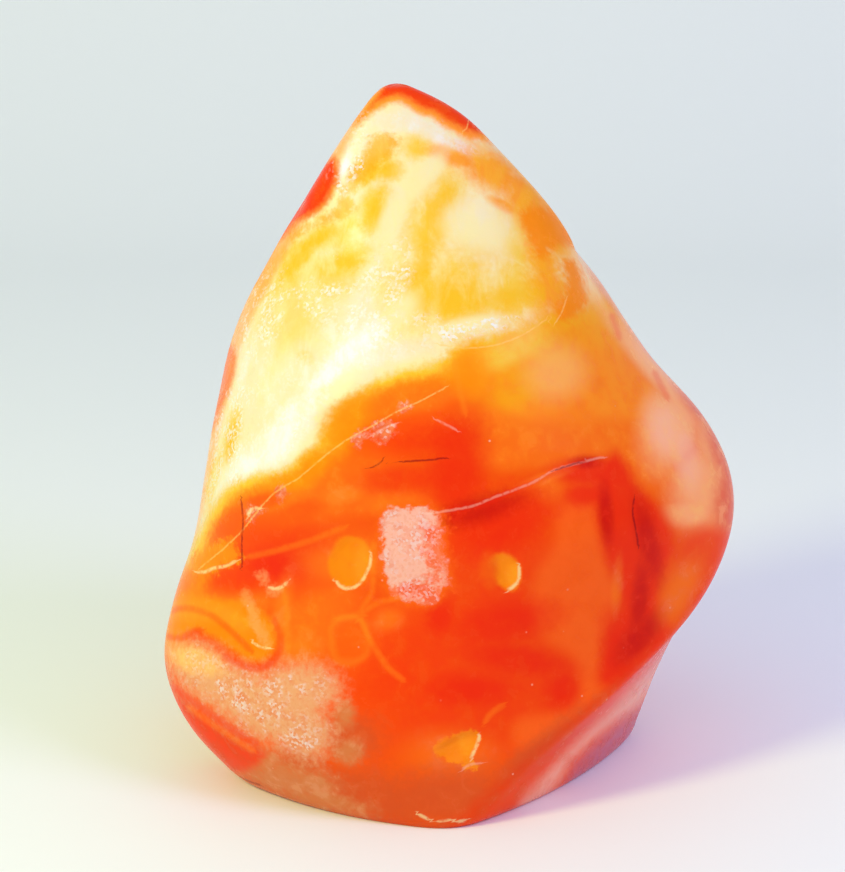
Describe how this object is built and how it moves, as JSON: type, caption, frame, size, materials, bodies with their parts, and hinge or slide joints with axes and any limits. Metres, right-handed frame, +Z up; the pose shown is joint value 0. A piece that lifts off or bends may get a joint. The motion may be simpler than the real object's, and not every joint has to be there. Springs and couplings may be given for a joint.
{
  "type": "flame carving",
  "caption": "Free-standing polished stone ground to a twisted four-sided flame, with soft spiral ridges, a blunt tip and a flat foot that it stands on.",
  "frame": {"origin": "on the surface that the stone stands on, under the centre of its bounding box", "axes": "+Z up along the height, +X to the viewer's right, -Y towards the viewer of the face shown in the picture"},
  "size_m": [0.0817, 0.0619, 0.0973],
  "materials": {
    "carnelian": "high polish, translucent orange-red chalcedony with cream and yellow bands and sugary quartz patches"
  },
  "bodies": {
    "root": {"carnelian_flame": "carnelian"}
  },
  "joints": []
}
